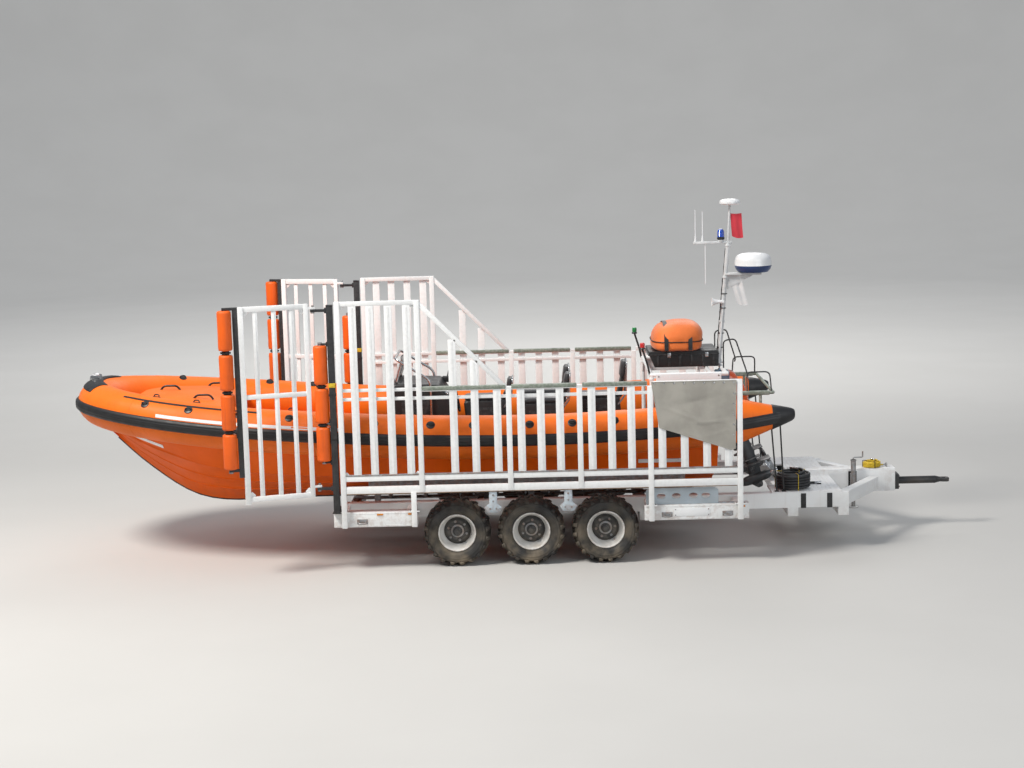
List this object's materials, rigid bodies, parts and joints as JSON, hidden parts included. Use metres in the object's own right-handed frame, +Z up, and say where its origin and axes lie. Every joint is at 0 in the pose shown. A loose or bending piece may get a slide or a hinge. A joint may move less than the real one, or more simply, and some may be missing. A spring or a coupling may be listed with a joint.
{
  "type": "inshore rescue boat on launching carriage",
  "caption": "Rigid-inflatable inshore rescue boat with tilting outboards, standing on a six-wheeled launching carriage with slatted side cages and swinging guide gates",
  "frame": {"origin": "on the ground under the middle of the whole object, halfway between the bow tip and the towing eye", "axes": "+X from the boat's bow toward the towing eye, +Y to the boat's starboard side, +Z up"},
  "size_m": [10.448, 3.8888, 4.006],
  "materials": {
    "hull_orange": "glossy moulded hull",
    "tube_orange": "coated tube fabric, satin",
    "black_rubber": "matt rubber",
    "sole_grey": "matt non-slip",
    "black_plastic": "matt vinyl and moulding",
    "screen_plastic": "dark tinted screen",
    "white_alloy": "white painted alloy",
    "bag_fabric": "coated cloth",
    "mast_alloy": "grey painted alloy",
    "dome_plastic": "gloss white",
    "blue_lens": "clear blue lens",
    "flag_fabric": "light woven cloth",
    "canvas_fabric": "heavy grey canvas",
    "white_steel": "white paint, worn",
    "dark_steel": "dark grey paint",
    "grey_steel": "galvanised and painted grey",
    "foam_orange": "foam sleeve, satin",
    "hose_black": "matt hose",
    "outboard_body": "gloss cowl over dark casting",
    "outboard_bracket": "dark casting",
    "prop_metal": "polished steel",
    "tyre": "matt rubber",
    "rim_white": "white paint"
  },
  "bodies": {
    "boat_and_carriage": {"hull": "hull_orange", "foredeck_cover": "hull_orange", "tube_collar": "tube_orange", "rubbing_strake": "black_rubber", "nose_pad": "black_rubber", "cockpit_sole": "sole_grey", "steering_console": "black_plastic", "seat_helm": "black_plastic", "seats_crew": "black_plastic", "seat_aft": "black_plastic", "gantry_box": "black_plastic", "windscreen": "screen_plastic", "gantry_frame": "white_alloy", "side_cage_port": "white_alloy", "side_cage_starboard": "white_alloy", "righting_bag": "bag_fabric", "mast": "mast_alloy", "stern_guard": "mast_alloy", "radar_dome": "dome_plastic", "blue_lamp": "blue_lens", "flag_upper": "flag_fabric", "flag_lower": "flag_fabric", "canvas_screen": "canvas_fabric", "chassis_frame": "white_steel", "drawbar": "dark_steel", "gate_post_port": "dark_steel", "gate_post_starboard": "dark_steel", "axle_1": "grey_steel", "axle_2": "grey_steel", "axle_3": "grey_steel", "cradle": "grey_steel", "guide_roller_port": "foam_orange", "guide_roller_starboard": "foam_orange", "hose_coil": "hose_black", "strap_coil": "hose_black", "outboard_bracket_port": "outboard_bracket", "outboard_bracket_starboard": "outboard_bracket"},
    "wheel_port_1": {"tyre_port_1": "tyre", "rim_port_1": "rim_white"},
    "wheel_port_2": {"tyre_port_2": "tyre", "rim_port_2": "rim_white"},
    "wheel_port_3": {"tyre_port_3": "tyre", "rim_port_3": "rim_white"},
    "gate_port": {"wing_gate_port": "white_alloy", "gate_roller_port": "foam_orange"},
    "swivel_port": {"outboard_swivel_port": "outboard_bracket"},
    "engine_port": {"outboard_engine_port": "outboard_body"},
    "screw_port": {"propeller_port": "prop_metal"},
    "wheel_starboard_1": {"tyre_starboard_1": "tyre", "rim_starboard_1": "rim_white"},
    "wheel_starboard_2": {"tyre_starboard_2": "tyre", "rim_starboard_2": "rim_white"},
    "wheel_starboard_3": {"tyre_starboard_3": "tyre", "rim_starboard_3": "rim_white"},
    "gate_starboard": {"wing_gate_starboard": "white_alloy", "gate_roller_starboard": "foam_orange"},
    "swivel_starboard": {"outboard_swivel_starboard": "outboard_bracket"},
    "engine_starboard": {"outboard_engine_starboard": "outboard_body"},
    "screw_starboard": {"propeller_starboard": "prop_metal"}
  },
  "joints": [
    {"name": "wheel_port_1_spin", "type": "hinge", "parent": "boat_and_carriage", "child": "wheel_port_1", "pos_m": [-0.646, -1.32, 0.38], "axis": [0, 1, 0], "continuous": true},
    {"name": "wheel_port_2_spin", "type": "hinge", "parent": "boat_and_carriage", "child": "wheel_port_2", "pos_m": [0.195, -1.32, 0.38], "axis": [0, 1, 0], "continuous": true},
    {"name": "wheel_port_3_spin", "type": "hinge", "parent": "boat_and_carriage", "child": "wheel_port_3", "pos_m": [1.036, -1.32, 0.38], "axis": [0, 1, 0], "continuous": true},
    {"name": "gate_port_swing", "type": "hinge", "parent": "boat_and_carriage", "child": "gate_port", "pos_m": [-2.16, -1.6, 2], "axis": [0, 0, 1], "range_deg": [-16, 44]},
    {"name": "tilt_port", "type": "hinge", "parent": "boat_and_carriage", "child": "swivel_port", "pos_m": [2.46, -0.38, 1.36], "axis": [0, -1, 0], "range_deg": [-20, 40]},
    {"name": "steer_port", "type": "hinge", "parent": "swivel_port", "child": "engine_port", "pos_m": [2.51638, -0.38, 1.38052], "axis": [-0.342, 0, 0.9397], "range_deg": [-30, 30]},
    {"name": "screw_port_spin", "type": "hinge", "parent": "engine_port", "child": "screw_port", "pos_m": [3.07488, -0.38, 0.79631], "axis": [0.9397, 0, 0.342], "continuous": true},
    {"name": "wheel_starboard_1_spin", "type": "hinge", "parent": "boat_and_carriage", "child": "wheel_starboard_1", "pos_m": [-0.646, 1.32, 0.38], "axis": [0, 1, 0], "continuous": true},
    {"name": "wheel_starboard_2_spin", "type": "hinge", "parent": "boat_and_carriage", "child": "wheel_starboard_2", "pos_m": [0.195, 1.32, 0.38], "axis": [0, 1, 0], "continuous": true},
    {"name": "wheel_starboard_3_spin", "type": "hinge", "parent": "boat_and_carriage", "child": "wheel_starboard_3", "pos_m": [1.036, 1.32, 0.38], "axis": [0, 1, 0], "continuous": true},
    {"name": "gate_starboard_swing", "type": "hinge", "parent": "boat_and_carriage", "child": "gate_starboard", "pos_m": [-2.16, 1.6, 2], "axis": [0, 0, 1], "range_deg": [-44, 16]},
    {"name": "tilt_starboard", "type": "hinge", "parent": "boat_and_carriage", "child": "swivel_starboard", "pos_m": [2.46, 0.38, 1.36], "axis": [0, -1, 0], "range_deg": [-20, 40]},
    {"name": "steer_starboard", "type": "hinge", "parent": "swivel_starboard", "child": "engine_starboard", "pos_m": [2.51638, 0.38, 1.38052], "axis": [-0.342, 0, 0.9397], "range_deg": [-30, 30]},
    {"name": "screw_starboard_spin", "type": "hinge", "parent": "engine_starboard", "child": "screw_starboard", "pos_m": [3.07488, 0.38, 0.79631], "axis": [0.9397, 0, 0.342], "continuous": true}
  ],
  "couplings": [
    {"joint": "steer_starboard", "follows": "steer_port", "ratio": 1}
  ]
}
